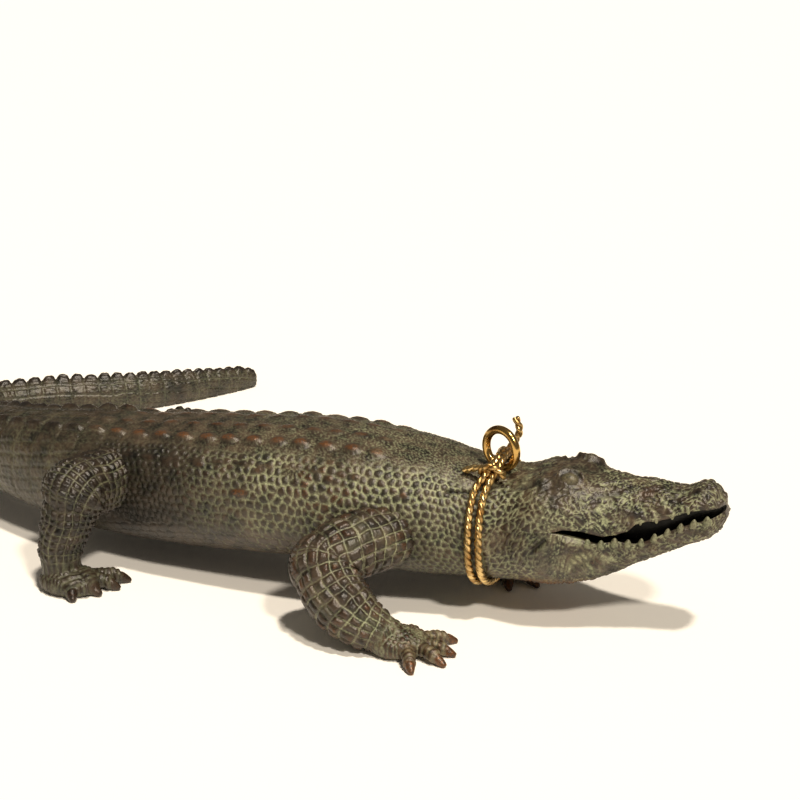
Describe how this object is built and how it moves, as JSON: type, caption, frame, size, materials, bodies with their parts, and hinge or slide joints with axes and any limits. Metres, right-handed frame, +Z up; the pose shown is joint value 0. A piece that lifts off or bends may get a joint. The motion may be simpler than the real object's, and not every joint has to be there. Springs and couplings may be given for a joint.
{
  "type": "alligator figurine",
  "caption": "Cast alligator walking with its jaws parted and its tail swept round to its left, with a rope collar and a lead ring on its neck.",
  "frame": {"origin": "bottom centre of the bounding box, on the floor that the feet stand on", "axes": "+X the way the animal walks, +Y to its left, +Z up"},
  "size_m": [0.3688, 0.2622, 0.0688],
  "materials": {
    "patinated_bronze": "dark brown patina with pale green in the grooves, rubbed orange-brown on the raised places",
    "brass_rope": "bright brass wire rope, darker between the strands",
    "brass_ring": "polished"
  },
  "bodies": {
    "root": {"alligator": "patinated_bronze", "rope_collar": "brass_rope", "lead_ring": "brass_ring"}
  },
  "joints": []
}
